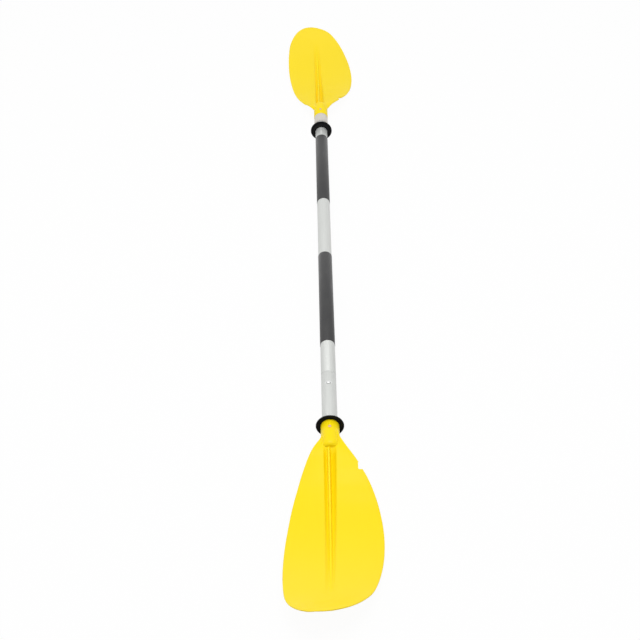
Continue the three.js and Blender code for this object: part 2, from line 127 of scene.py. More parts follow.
class Shader:
    def __init__(self, name, **fixed):
        self.material = bpy.data.materials.new(name)
        self.material.use_nodes = True
        self.tree = self.material.node_tree
        self.bsdf = self.tree.nodes["Principled BSDF"]
        for socket, value in fixed.items():
            self.bsdf.inputs[socket.replace("_", " ")].default_value = value

    def add(self, kind, settings=None, out=0, **inputs):
        node = self.tree.nodes.new(kind)
        for key, value in (settings or {}).items():
            setattr(node, key, value)
        for key, value in inputs.items():
            numbered = key[0] == "i" and key[1:].isdigit()
            socket = node.inputs[int(key[1:]) if numbered else key.replace("_", " ")]
            if isinstance(value, Val):
                self.tree.links.new(value.socket, socket)
            else:
                socket.default_value = value
        return Val(self.tree, node.outputs[out])

    def place(self, move=(0, 0, 0), turn=(0, 0, 0), scale=(1, 1, 1)):
        where = self.add("ShaderNodeTexCoord", out="Object")
        return self.add("ShaderNodeMapping", Vector=where, Location=move, Rotation=turn, Scale=scale)

    def split(self, vector):
        node = self.tree.nodes.new("ShaderNodeSeparateXYZ")
        self.tree.links.new(vector.socket, node.inputs[0])
        return [Val(self.tree, o) for o in node.outputs]

    def noise(self, vector, scale, detail, roughness=0.5):
        return self.add("ShaderNodeTexNoise", Vector=vector, Scale=scale, Detail=detail,
                        Roughness=roughness)

    def mix(self, share, a, b):
        return self.add("ShaderNodeMix", {"data_type": "RGBA"}, out=2, i0=share, i6=a, i7=b)

    def bump(self, height, distance, strength):
        return self.add("ShaderNodeBump", Height=height, Distance=distance, Strength=strength)

    def feed(self, socket, value):
        self.tree.links.new(value.socket, self.bsdf.inputs[socket])


# a colour as the screen shows it, 0 to 255, turned into what Blender's nodes want
def linear(red, green, blue):
    def one(v):
        v /= 255
        return v / 12.92 if v <= 0.04045 else ((v + 0.055) / 1.055) ** 2.4
    return (one(red), one(green), one(blue), 1)


# how far a noise is from its middle, times a size
def swing(noise, size):
    return (noise - 0.5) * size


# yellow blade plastic; a noise is given as its scale, detail and roughness
bladePaint = {
    "colour": (253, 225, 12),
    "deep": (251, 220, 9),
    # painted highlight: the tips are painted paler
    "pale": (253, 225, 60),
    # painted shade: the channel is painted darker and more orange, as it looks in its own shade
    "grooveShade": (251, 218, 6),
    # painted highlight: the rib's crest is painted paler
    "rib": (253, 229, 26),
    "ior": 1.5,
    "gloss": 0.18,
    "roughness": 0.38,
    "cloud": (9, 3),
    "cloudStep": (0.3, 0.7),
    "cloudShare": 0.4,
    "cloudDull": 0.1,
    "flow": (4, 3),  # how the plastic ran from the sleeve to the tip
    "flowStretch": (5, 60, 60),
    "flowShare": 0.15,
    "grain": (900, 2, 0.6),
    "grainDepth": 0.00006,
    "grainStrength": 0.5,
    "rubs": (1, 4),
    "rubsTurn": (0, 0, 0.5),
    "rubsStretch": (30, 700, 200),
    "rubsStep": (0.62, 0.8),
    "rubsDull": 0.12,
    "tipHighlightFrom": (0.72, 1.05),  # painted highlight: paler towards the tip, metres from the middle of the paddle
    "tipHighlightShare": 0.6,
    # the channel's painted shade is laid out by these
    "grooveRun": (0.656, 0.349),  # where the channel starts, and its length
    "grooveMiddle": (0.0011, 0.0066),  # at its start, and how far it drifts
    "grooveHalf": (0.0122, 0.0034),  # at its start, and how much narrower it ends
    "grooveStarts": (0, 0.06),  # as shares of its length
    "grooveEnds": (0.78, 1.06),
    "grooveSides": (0.8, 1.04),  # as shares of its half width
    "grooveShadeShare": 0.8,
    # the rib's painted highlight is laid out by these
    "ribMiddle": (0.0036, 0.003),
    "ribHighlightSides": (0.00126, 0.00234),
}


def bladePlastic(setup):
    s = Shader("bladePlastic", IOR=setup["ior"], Specular_IOR_Level=setup["gloss"])
    where = s.place()
    x, y, _ = s.split(where)
    cloud = s.noise(where, *setup["cloud"])
    flow = s.noise(s.place(scale=setup["flowStretch"]), *setup["flow"])
    grain = s.noise(where, *setup["grain"])
    rubs = s.noise(s.place(turn=setup["rubsTurn"], scale=setup["rubsStretch"]), *setup["rubs"])
    # painted highlight: paler towards the tips; the rubs follow the same zone
    lift = abs(x).step(*setup["tipHighlightFrom"])
    start, length = setup["grooveRun"]
    run = (abs(x) - start) / length
    inRun = run.step(*setup["grooveStarts"]) * (1 - run.step(*setup["grooveEnds"]))

    def offMiddle(line):
        middle, drift = setup[line]
        return abs(y - axisY - middle - run * drift)

    half, taper = setup["grooveHalf"]
    across = offMiddle("grooveMiddle") / (half - run * taper)
    # painted shade: the channel darker and more orange
    grooveShade = (1 - across.step(*setup["grooveSides"])) * inRun
    # painted highlight along the rib's crest
    rib = (1 - offMiddle("ribMiddle").step(*setup["ribHighlightSides"])) * inRun
    mottle = cloud.step(*setup["cloudStep"]) * setup["cloudShare"]
    mottle = mottle + flow.step(*setup["cloudStep"]) * setup["flowShare"]
    colour = s.mix(mottle, linear(*setup["colour"]), linear(*setup["deep"]))
    colour = s.mix(lift * setup["tipHighlightShare"], colour, linear(*setup["pale"]))
    colour = s.mix(grooveShade * setup["grooveShadeShare"], colour, linear(*setup["grooveShade"]))
    colour = s.mix(rib, colour, linear(*setup["rib"]))
    dull = rubs.step(*setup["rubsStep"]) * lift * setup["rubsDull"]
    s.feed("Base Color", colour)
    s.feed("Roughness", setup["roughness"] + swing(cloud, setup["cloudDull"]) + dull)
    s.feed("Normal", s.bump(grain, setup["grainDepth"], setup["grainStrength"]))
    return s.material


# light grey tube, with a painted highlight round the button: a pale patch on its top, a little smoother
# there
tubePaint = {
    "colour": (210, 212, 209),
    "dull": (203, 205, 202),
    # painted highlight: the pale patch round the button stands in for its glint
    "worn": (228, 229, 228),
    "metallic": 0.35,
    "ior": 1.5,
    "roughness": 0.4,
    "streaks": (6, 3),
    "streaksStretch": (3, 160, 160),
    "streaksStep": (0.25, 0.75),
    "streaksDull": 0.16,
    "cloud": (14, 2),
    "cloudDull": 0.08,
    "glintLength": 0.0042,
    "glintWidth": 0.0085,
    "glintFade": (0.35, 1.2),
    "glintHeight": 0.01,
    "glintShare": 0.55,
    "glintStreaks": 0.4,
    "rubPolish": 0.08,
    "bumpDepth": 0.00004,
    "bumpStrength": 0.35,
}


def tubeMetal(name, setup, glintX=None):
    s = Shader(name, Metallic=setup["metallic"], IOR=setup["ior"])
    streaks = s.noise(s.place(scale=setup["streaksStretch"]), *setup["streaks"])
    cloud = s.noise(s.place(), *setup["cloud"])
    mottle = streaks.step(*setup["streaksStep"])
    colour = s.mix(mottle, linear(*setup["colour"]), linear(*setup["dull"]))
    roughness = setup["roughness"] + swing(streaks, setup["streaksDull"])
    roughness = roughness + swing(cloud, setup["cloudDull"])
    if glintX is not None:
        # painted highlight: a pale patch on top of the tube round the button, for its glint, with the
        # roughness a little lower there
        x, y, z = s.split(s.place(move=(-glintX, -axisY, 0)))
        reach = (x / setup["glintLength"]) ** 2 + (y / setup["glintWidth"]) ** 2
        glintAndPolish = (1 - reach.step(*setup["glintFade"])) * z.step(axisZ, axisZ + setup["glintHeight"])
        share = glintAndPolish * (setup["glintShare"] + streaks * setup["glintStreaks"])
        colour = s.mix(share, colour, linear(*setup["worn"]))
        roughness = roughness - glintAndPolish * setup["rubPolish"]
    s.feed("Base Color", colour)
    s.feed("Roughness", roughness)
    s.feed("Normal", s.bump(streaks, setup["bumpDepth"], setup["bumpStrength"]))
    return s.material


# dark grips
gripPaint = {
    "colour": (40, 40, 41),
    "worn": (47, 47, 47),
    "ior": 1.5,
    "gloss": 0.45,
    "sheen": (0.1, 0.4),
    "roughness": 0.46,
    "pebbles": 900,
    "pebbleDepth": 0.0001,
    "pebbleStrength": 0.5,
    "cloud": (24, 3),
    "cloudStep": (0.35, 0.75),
    "cloudDull": 0.14,
    "hands": (3, 2),  # where hands have polished it
    "handsStretch": (6, 40, 40),
    "handsStep": (0.45, 0.8),
    "handsPolish": 0.08,
}


def gripSleeve(setup):
    sheen, sheenRoughness = setup["sheen"]
    s = Shader("gripSleeve", IOR=setup["ior"], Specular_IOR_Level=setup["gloss"],
               Sheen_Weight=sheen, Sheen_Roughness=sheenRoughness)
    where = s.place()
    pebble = s.add("ShaderNodeTexVoronoi", {"feature": "SMOOTH_F1"}, Vector=where, Scale=setup["pebbles"])
    cloud = s.noise(where, *setup["cloud"])
    hands = s.noise(s.place(scale=setup["handsStretch"]), *setup["hands"])
    mottle = cloud.step(*setup["cloudStep"])
    polish = hands.step(*setup["handsStep"]) * setup["handsPolish"]
    s.feed("Base Color", s.mix(mottle, linear(*setup["colour"]), linear(*setup["worn"])))
    s.feed("Roughness", setup["roughness"] + swing(cloud, setup["cloudDull"]) - polish)
    s.feed("Normal", s.bump(pebble, setup["pebbleDepth"], setup["pebbleStrength"]))
    return s.material


# plain clouded finishes: black rubber of the drip rings, milky collar, nylon cap
ringPaint = {
    "colour": (25, 25, 26),
    "mottle": (32, 32, 31),
    "ior": 1.35,
    "gloss": 0.05,
    "roughness": 0.6,
    "cloud": (60, 3),
    "cloudStep": (0.3, 0.8),
    "cloudDull": 0.2,
    "fine": (1400, 2),
    "fineDepth": 0.00005,
    "fineStrength": 0.5,
}
collarPaint = {
    "colour": (212, 206, 197),
    "mottle": (202, 196, 188),
    "ior": 1.49,
    "gloss": 0.5,
    "roughness": 0.38,
    "cloud": (30, 3),
    "cloudStep": (0.3, 0.7),
    "cloudDull": 0.2,
    "fine": (700, 2),
    "fineDepth": 0.00005,
    "fineStrength": 0.4,
}
capPaint = {
    "colour": (38, 38, 38),
    "mottle": (48, 48, 48),
    "ior": 1.5,
    "gloss": 0.5,
    "roughness": 0.5,
    "cloud": (80, 3),
    "cloudStep": (0.3, 0.7),
    "cloudDull": 0.2,
    "fine": (900, 2),
    "fineDepth": 0.00006,
    "fineStrength": 0.5,
}


def clouded(name, setup):
    s = Shader(name, IOR=setup["ior"], Specular_IOR_Level=setup["gloss"])
    where = s.place()
    cloud = s.noise(where, *setup["cloud"])
    fine = s.noise(where, *setup["fine"])
    mottle = cloud.step(*setup["cloudStep"])
    s.feed("Base Color", s.mix(mottle, linear(*setup["colour"]), linear(*setup["mottle"])))
    s.feed("Roughness", setup["roughness"] + swing(cloud, setup["cloudDull"]))
    s.feed("Normal", s.bump(fine, setup["fineDepth"], setup["fineStrength"]))
    return s.material


# closed-cell foam
foamPaint = {
    "colour": (232, 230, 222),
    "mottle": (214, 211, 202),
    "roughness": 0.9,
    "cells": 900,
    "cellStep": (0.1, 0.6),
    "cellDull": 0.1,
    "cellDepth": 0.0003,
    "cellStrength": 0.7,
}


def plugFoam(setup):
    s = Shader("plugFoam")
    cells = s.add("ShaderNodeTexVoronoi", Vector=s.place(), Scale=setup["cells"])
    mottle = cells.step(*setup["cellStep"])
    s.feed("Base Color", s.mix(mottle, linear(*setup["colour"]), linear(*setup["mottle"])))
    s.feed("Roughness", setup["roughness"] + swing(cells, setup["cellDull"]))
    s.feed("Normal", s.bump(cells, setup["cellDepth"], setup["cellStrength"]))
    return s.material


# bare metals, drawn along the axis that is stretched least
metalPaint = {
    "drawn": (8, 3),
    "drawnStep": (0.3, 0.7),
    "drawnDull": 0.15,
    "paler": 12,
    "bumpDepth": 0.00003,
    "bumpStrength": 0.4,
}
metalLooks = {
    "bareAluminium": {"colour": (184, 186, 188), "roughness": 0.34, "metallic": 1.0,
                      "stretch": (4, 120, 120)},
    "springSteel": {"colour": (146, 148, 150), "roughness": 0.28, "metallic": 1.0,
                    "stretch": (120, 4, 120)},
    "buttonSteel": {"colour": (208, 209, 208), "roughness": 0.5, "metallic": 0.4,
                    "stretch": (60, 60, 4)},
    "rivetMetal": {"colour": (214, 172, 138), "roughness": 0.55, "metallic": 0.3,
                   "stretch": (200, 200, 40)},
}


def bareMetal(name, setup):
    own = metalLooks[name]
    s = Shader(name, Metallic=own["metallic"])
    drawn = s.noise(s.place(scale=own["stretch"]), *setup["drawn"])
    pale = tuple(min(255, v + setup["paler"]) for v in own["colour"])
    s.feed("Base Color", s.mix(drawn.step(*setup["drawnStep"]), linear(*own["colour"]), linear(*pale)))
    s.feed("Roughness", own["roughness"] + swing(drawn, setup["drawnDull"]))
    s.feed("Normal", s.bump(drawn, setup["bumpDepth"], setup["bumpStrength"]))
    return s.material


buttonLow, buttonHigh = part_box("snap_button")
buttonX = (buttonLow.x + buttonHigh.x) / 2
finishes = {
    "bladeYellow": bladePlastic(bladePaint),
    "shaftCoat": tubeMetal("tubeMetal", tubePaint),
    "gripBlack": gripSleeve(gripPaint),
    "ringRubber": clouded("ringRubber", ringPaint),
    "collarGrey": clouded("milkyPlastic", collarPaint),
    "foamWhite": plugFoam(foamPaint),
    "capNylon": clouded("capNylon", capPaint),
}
for name in ("bareAluminium", "springSteel", "buttonSteel"):
    finishes[name] = bareMetal(name, metalPaint)
ownFinish = {
    "near_shaft_tube": tubeMetal("tubeMetalByButton", tubePaint, buttonX),
    "near_blade_rivet": bareMetal("rivetMetal", metalPaint),
}
ownFinish["far_blade_rivet"] = ownFinish["near_blade_rivet"]
slotOf = {part["node"]: part["material_slot"] for part in frame["record"]["subparts"]}
bodies = frame["record"]["behaviour"]["bodies"]
bodyOf = {node: body for body, members in bodies.items() for node in members}
for name, obj in nodes.items():
    obj.data.materials.clear()
    obj.data.materials.append(finishes[slotOf[name]])
print("finishes made for", len(nodes), "nodes")


# how a piece is picked, worked and handed over
workSetup = {
    "seed": 0.001,  # the plane that a turned outline starts from, merged to a point
    "merge": 0.00001,
    "joinMerge": 0.000003,
    "holeSteps": 48,
}


def pickOnly(obj):
    bpy.ops.object.select_all(action="DESELECT")
    obj.select_set(True)
    bpy.context.view_layer.objects.active = obj


def applyModifier(piece, kind, **settings):
    modifier = piece.modifiers.new("step", kind)
    for key, value in settings.items():
        setattr(modifier, key, value)
    bpy.ops.object.modifier_apply(modifier=modifier.name)


def smoothUpTo(piece, degrees):
    pickOnly(piece)
    bpy.ops.object.shade_smooth_by_angle(angle=math.radians(degrees))


def dress(piece, name, smooth=None):
    if smooth:
        smoothUpTo(piece, smooth)
    piece.data.materials.clear()
    piece.data.materials.append(ownFinish.get(name, finishes[slotOf[name]]))
    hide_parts(name)
    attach(piece, bodyOf[name])


def spanOf(name):
    low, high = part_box(name)
    return low.x, high.x


# a turned piece: its outline is drawn out point by point from one corner and spun
def turned(name, outline, steps, upright=None, ease=0.0, easeSteps=2, easeFrom=30):
    if upright is None:  # outline of (along the shaft, from its axis)
        points = [Vector((along, axisY, axisZ + off)) for along, off in outline]
        centre, axis = (0, axisY, axisZ), (1, 0, 0)
    else:  # outline of (over the shaft's axis, from the piece's own axis)
        points = [Vector((upright + off, axisY, axisZ + along)) for along, off in outline]
        centre, axis = (upright, axisY, 0), (0, 0, 1)
    bpy.ops.object.select_all(action="DESELECT")
    bpy.ops.mesh.primitive_plane_add(size=workSetup["seed"], location=points[0])
    piece = bpy.context.object
    piece.name = "dressed_" + name
    bpy.ops.object.mode_set(mode="EDIT")
    bpy.ops.mesh.select_all(action="SELECT")
    bpy.ops.mesh.merge(type="CENTER")
    for before, after in zip(points, points[1:]):
        bpy.ops.mesh.extrude_region_move(TRANSFORM_OT_translate={"value": after - before})
    bpy.ops.mesh.select_all(action="SELECT")
    bpy.ops.mesh.remove_doubles(threshold=workSetup["merge"])
    bpy.ops.mesh.select_all(action="SELECT")
    bpy.ops.mesh.spin(steps=steps, angle=2 * math.pi, center=centre, axis=axis)
    bpy.ops.mesh.select_all(action="SELECT")
    bpy.ops.mesh.remove_doubles(threshold=workSetup["merge"])
    bpy.ops.mesh.normals_make_consistent(inside=False)
    bpy.ops.object.mode_set(mode="OBJECT")
    pickOnly(piece)
    bpy.ops.object.transform_apply(location=True, rotation=True, scale=True)
    if ease:
        applyModifier(piece, "BEVEL", width=ease, segments=easeSteps, limit_method="ANGLE",
                      angle_limit=math.radians(easeFrom))
    return piece


# a boolean, and a merge of the points that it leaves on top of each other
def joinWith(piece, other, operation):
    pickOnly(piece)
    applyModifier(piece, "BOOLEAN", object=other, operation=operation)
    bpy.data.objects.remove(other)
    bpy.ops.object.mode_set(mode="EDIT")
    bpy.ops.mesh.select_all(action="SELECT")
    bpy.ops.mesh.remove_doubles(threshold=workSetup["joinMerge"])
    bpy.ops.object.mode_set(mode="OBJECT")


# a hole straight down, from the shaft's axis to a height over it
def boreDown(piece, x, radius, top):
    bpy.ops.object.select_all(action="DESELECT")
    bpy.ops.mesh.primitive_cylinder_add(vertices=workSetup["holeSteps"], radius=radius, depth=top,
                                        location=(x, axisY, axisZ + top / 2))
    joinWith(piece, bpy.context.object, "DIFFERENCE")


# blades, drawn from their two edges, with the channel pressed in; millimetres, x from the sleeve's mouth
bladeForm = {
    "length": 469,
    "longReach": 89.4,
    "shortReach": 87.5,
    "setOver": 1.3,
    "tipLift": 40.2,
    "crown": 5,
    "thick": 5,
    "edgeThick": 3,
    "edgeRound": 1.5,
    "roundPart": 6,  # the rounding is at most this part of the width
    "tipThinning": 40,
    "startGap": 0.01,  # how far the sections stay inside the first edge point and the tip
    "tipGap": 0.5,
    # edges as shares of the length, the reach and the lift at the tip
    "longEdge": [
        (0.0239, 0.15, 0.24), (0.04, 0.167, 0.224), (0.0533, 0.181, 0.21), (0.07, 0.2, 0.197),
        (0.088, 0.248, 0.192), (0.112, 0.321, 0.208), (0.1399, 0.405, 0.163), (0.1757, 0.496, 0.018),
        (0.2158, 0.57, -0.1), (0.2546, 0.638, -0.214), (0.3111, 0.719, -0.358),
        (0.3731, 0.799, -0.455), (0.4401, 0.866, -0.505), (0.5066, 0.917, -0.517),
        (0.5757, 0.961, -0.485), (0.6488, 0.99, -0.393), (0.7235, 1, -0.219),
        (0.8006, 0.99, 0.022), (0.8846, 0.944, 0.299), (0.9271, 0.869, 0.498),
        (0.9567, 0.772, 0.692), (0.9793, 0.65, 0.856), (0.9947, 0.489, 0.965),
        (0.9987, 0.386, 0.993), (1, 0.268, 1),
    ],
    "shortEdge": [
        (0.0239, 0.14, 0.27), (0.04, 0.155, 0.261), (0.058, 0.172, 0.25), (0.077, 0.196, 0.237),
        (0.096, 0.243, 0.221), (0.1185, 0.298, 0.214), (0.1415, 0.361, 0.196), (0.1755, 0.465, 0.125),
        (0.2055, 0.554, 0.042), (0.2424, 0.642, -0.057), (0.2738, 0.723, -0.162),
        (0.3068, 0.79, -0.269), (0.3475, 0.855, -0.366), (0.4028, 0.923, -0.493),
        (0.4684, 0.973, -0.57), (0.5424, 1, -0.59), (0.6222, 0.991, -0.547),
        (0.7066, 0.941, -0.435), (0.7921, 0.842, -0.229), (0.8633, 0.714, 0.057),
        (0.913, 0.56, 0.381), (0.9537, 0.377, 0.684), (0.9763, 0.197, 0.843),
        (0.9928, -0.037, 0.953), (0.9983, -0.177, 0.993), (1, -0.274, 1),
    ],
    "stations": 230,
    "sideColumns": 20,
    "rimSteps": 8,
    "splineSteps": 12,
    "merge": 0.000002,
    "smooth": 32,
}
# the channel, the rib in it and the spine behind it
channelForm = {
    "from": 61,
    "to": 410.4,
    "halfWidth": 12.2,
    "endWidth": 0.72,
    "depth": 10,
    "fade": 0.75,
    "easeBefore": 2,
    "easeIn": 22,
    "bowl": 2,
    "offset": 1.1,
    "drift": 6.6,
    "lips": [1.08, 1.04, 1, 0.96, 0.92, 0.85, 0.76],  # columns round the lip, as shares of the half width
    "lipRound": (0.92, 1.08),
    "ribOffset": 3.6,
    "ribDrift": 3,
    "ribReach": 4.5,
    "ribCrest": 1.1,
    "ribBelow": 0.3,
    "ribSteps": 12,
    "bedSteps": 5,
    "wall": 3.6,
    "spineFrom": 54,
    "spineRise": 4,
    "spineBlend": 103,
    "spineSunk": 1.25,  # how far under the face it starts, so that it never shows there
    "spineLeast": 3.125,
    "spineSteps": 24,
    "spineFillet": 2.5,
    "underSteps": 12,
    "tipKeep": 0.35,  # shares that keep the channel and the spine inside the narrow tip
    "tipFill": 0.62,
    "tipSpine": 0.85,
}
sleeveForm = {
    "overhang": 2,
    "radius": 17.9,
    "length": 63,
    "endRound": 6.5,
    "endSlope": 10,
    "endSteps": 8,
    "lip": 1.2,
    "lipCut": 0.35,
    "steps": 128,
    "fillet": 8,
    "filletFade": 50,
    "bore": 15.3,
    "boreTo": 54.3,
    "overrun": 10,
    "rivetHole": 1.9,
    "rivetHoleTop": 22,
}
notchForm = {"from": 98.02, "to": 114.52, "floor": -49.69, "outer": -93, "height": 90,
             "corner": 2.5, "cornerSteps": 6}
mm = 0.001


def ramp(v, a, b):
    return min(max((v - a) / (b - a), 0), 1)


def between(a, b, share):
    return a + (b - a) * share


def splineThrough(points, fine):
    run = []
    ends = [points[0] * 2 - points[1]] + points + [points[-1] * 2 - points[-2]]
    for a, b, c, d in zip(ends, ends[1:], ends[2:], ends[3:]):
        da, db, dc = (b - a).length ** 0.5, (c - b).length ** 0.5, (d - c).length ** 0.5
        leave = ((b - a) / da - (c - a) / (da + db) + (c - b) / db) * db
        reach = ((c - b) / db - (d - b) / (db + dc) + (d - c) / dc) * db
        run += interpolate_bezier(b, b + leave / 3, c - reach / 3, c, fine + 1)[:-1]
    return run + [points[-1]]


def edgeRun(rows, reach, form):
    length, setOver, tipLift = (form[k] for k in ("length", "setOver", "tipLift"))
    points = [Vector((x * length, y * reach - setOver, z * tipLift)) for x, y, z in rows]
    return splineThrough(points, form["splineSteps"])


def edgeAt(run, x):
    k = bisect.bisect_left([v.x for v in run], x)
    if k == 0 or k == len(run):
        return run[min(k, len(run) - 1)]
    a, b = run[k - 1], run[k]
    return a.lerp(b, (x - a.x) / (b.x - a.x))


# 1 in the middle of the channel, 0 outside it, with a small round at its lip
def channelDrop(across, dip):
    lip, out = dip["lipRound"]
    if across < lip:
        return 1 - across ** dip["bowl"]
    return (1 - lip ** dip["bowl"]) * ramp(out - across, 0, out - lip) ** 2


# the lower of two heights, with a fillet
def blended(a, b, reach):
    near = max(reach - abs(a - b), 0) / reach
    return min(a, b) - near * near * reach / 4


def bladeSection(x, longRun, shortRun, form, dip, sleeve):
    low, high = edgeAt(shortRun, x), edgeAt(longRun, x)
    width = high.y - low.y
    toTip = form["length"] - x
    rim = form["edgeThick"] * math.sqrt(min(toTip / form["edgeThick"], 1))
    body = (form["thick"] - form["edgeThick"]) * min(toTip / form["tipThinning"], 1)
    crown = form["crown"] * width / (form["longReach"] + form["shortReach"])
    rounding = min(form["edgeRound"], width / form["roundPart"])
    inner, outer = low.y + rounding, high.y - rounding
    filletFade = 1 - ramp(x, sleeve["filletFade"], sleeve["length"])

    def swell(y):
        share = ramp(y, low.y, high.y)
        return 4 * share * (1 - share)

    def face(y):
        return between(low.z, high.z, ramp(y, low.y, high.y)) + crown * swell(y)

    def under(y):
        return face(y) - rim - body * swell(y)

    def webbed(y):  # the face, raised a little where it meets the sleeve's side
        side = math.sqrt(max(sleeve["radius"] ** 2 - y * y, 0))
        near = max(sleeve["fillet"] - abs(face(y) - side), 0) / sleeve["fillet"]
        return face(y) + near * near * sleeve["fillet"] / 4 * filletFade

    run = ramp(x, dip["from"], dip["to"])
    middle = dip["offset"] + dip["drift"] * run
    ribShift = dip["ribOffset"] + dip["ribDrift"] * run - middle
    keep = dip["tipKeep"] * (outer - inner)
    middle = min(max(middle, inner + keep), outer - keep)
    full = dip["halfWidth"] * between(1, dip["endWidth"], run)
    half = min(full, dip["tipFill"] * min(outer - middle, middle - inner))
    shrink = half / full
    eased = math.sin(math.pi / 2 * ramp(x, dip["from"] - dip["easeBefore"], dip["from"] + dip["easeIn"]))
    depth = dip["depth"] * (1 - run) ** dip["fade"] * eased
    ribMiddle = middle + ribShift * shrink
    ribReach = dip["ribReach"] * shrink

    def pressed(y):
        bed = webbed(y) - depth * channelDrop(abs(y - middle) / half, dip)
        crest = webbed(y) - dip["ribBelow"]
        off = abs(y - ribMiddle)
        up = 0.5 + 0.5 * math.cos(math.pi * ramp(off, dip["ribCrest"] * shrink, ribReach))
        return bed + max(crest - bed, 0) * up

    lips, beds, ribs, unders = (dip[k] for k in ("lips", "bedSteps", "ribSteps", "underSteps"))
    sides = form["sideColumns"]
    left = [between(inner, middle - half * lips[0], i / sides) for i in range(sides)]
    left += [middle - half * lip for lip in lips]
    right = [middle + half * lip for lip in reversed(lips)]
    right += [between(middle + half * lips[0], outer, (i + 1) / sides) for i in range(sides)]
    foot, head = ribMiddle - ribReach, ribMiddle + ribReach
    left += [between(left[-1], foot, i / beds) for i in range(1, beds)]
    rib = [between(foot, head, i / ribs) for i in range(ribs + 1)]
    right = [between(head, right[0], i / beds) for i in range(1, beds)] + right
    top = [(y, pressed(y)) for y in left + rib + right]

    # the spine behind the channel grows out of the sleeve's back
    blend = ramp(x, dip["spineFrom"], dip["spineFrom"] + dip["spineBlend"])
    share = 0.5 + 0.5 * math.cos(math.pi * blend)
    sunk = dip["spineSunk"]
    topHeight = face(middle) - sunk
    own = max(depth + dip["wall"] - sunk, dip["spineLeast"])
    hungFrom = between(middle, 0, share)
    hungHalf = between(full + dip["wall"], sleeve["radius"] - sunk / 2, share)
    hungHalf = min(hungHalf, dip["tipSpine"] * min(outer - hungFrom, hungFrom - inner))
    hung = between(own, topHeight + sleeve["radius"] - sunk / 2, share)
    starts = ramp(x, dip["spineFrom"] - dip["spineRise"], dip["spineFrom"])
    hung *= starts * (1 - ramp(x, dip["to"], dip["to"] + dip["wall"]))
    outerSide = [between(outer, hungFrom + hungHalf, i / unders) for i in range(unders)]
    innerSide = [between(hungFrom - hungHalf, inner, (i + 1) / unders) for i in range(unders)]
    bottom = [(y, under(y)) for y in outerSide]
    for i in range(dip["spineSteps"] + 1):
        angle = math.pi * i / dip["spineSteps"]
        y = hungFrom + hungHalf * math.cos(angle)
        wall = min(topHeight - hung * math.sin(angle), face(y) - sunk)
        bottom.append((y, blended(under(y), wall, dip["spineFillet"])))
    bottom += [(y, under(y)) for y in innerSide]

    def rimArc(start, end, reach):
        middleZ, halfZ = (start[1] + end[1]) / 2, (start[1] - end[1]) / 2
        angles = [math.pi * i / form["rimSteps"] for i in range(1, form["rimSteps"])]
        return [(start[0] + reach * math.sin(a), middleZ + halfZ * math.cos(a)) for a in angles]

    section = top + rimArc(top[-1], bottom[0], rounding) + bottom
    return section + rimArc(bottom[-1], top[0], -rounding)


def bladeShell(name, form, dip, sleeve, mouth):
    longRun = edgeRun(form["longEdge"], form["longReach"], form)
    shortRun = edgeRun([(x, -y, z) for x, y, z in form["shortEdge"]], form["shortReach"], form)
    first = form["longEdge"][0][0] * form["length"] + form["startGap"]
    last = form["length"] - form["tipGap"]
    count = form["stations"]
    xs = [between(first, last, (1 - math.cos(math.pi * i / count)) / 2) for i in range(count + 1)]
    sections = [bladeSection(x, longRun, shortRun, form, dip, sleeve) for x in xs]
    around = len(sections[0])
    bpy.ops.object.select_all(action="DESELECT")
    bpy.ops.mesh.primitive_grid_add(size=1, x_subdivisions=count, y_subdivisions=around,
                                    location=(0, 0, 0))
    piece = bpy.context.object
    piece.name = name
    for vertex in piece.data.vertices:
        i = round((vertex.co.x + 0.5) * count)
        j = round((vertex.co.y + 0.5) * around) % around
        y, z = sections[i][j]
        vertex.co = (-(mouth + xs[i] * mm), axisY + y * mm, axisZ + z * mm)
    bpy.ops.object.mode_set(mode="EDIT")
    bpy.ops.mesh.select_all(action="SELECT")
    bpy.ops.mesh.remove_doubles(threshold=form["merge"])
    bpy.ops.mesh.select_all(action="SELECT")
    bpy.ops.mesh.fill_holes(sides=0)
    bpy.ops.mesh.select_all(action="SELECT")
    bpy.ops.mesh.normals_make_consistent(inside=False)
    bpy.ops.object.mode_set(mode="OBJECT")
    return piece


def notchCutter(setup, mouth):
    ends = [-(mouth + setup[k] * mm) for k in ("from", "to")]
    sides = [axisY + setup[k] * mm for k in ("floor", "outer")]
    bpy.ops.object.select_all(action="DESELECT")
    size = (abs(ends[0] - ends[1]), abs(sides[0] - sides[1]), setup["height"] * mm)
    bpy.ops.mesh.primitive_cube_add(size=1, location=(sum(ends) / 2, sum(sides) / 2, axisZ), scale=size)
    cutter = bpy.context.object
    bpy.ops.object.transform_apply(location=True, rotation=True, scale=True)
    bpy.ops.object.mode_set(mode="EDIT")
    bpy.ops.mesh.select_all(action="DESELECT")
    bpy.ops.object.mode_set(mode="OBJECT")
    near = workSetup["merge"]
    for edge in cutter.data.edges:
        a, b = (cutter.data.vertices[k].co for k in edge.vertices)
        edge.select = all(abs(v.x - ends[1]) < near and abs(v.y - sides[0]) < near for v in (a, b))
    bpy.ops.object.mode_set(mode="EDIT")
    bpy.ops.mesh.select_mode(type="EDGE")
    bpy.ops.mesh.bevel(offset=setup["corner"] * mm, segments=setup["cornerSteps"])
    bpy.ops.mesh.select_mode(type="VERT")
    bpy.ops.object.mode_set(mode="OBJECT")
    return cutter


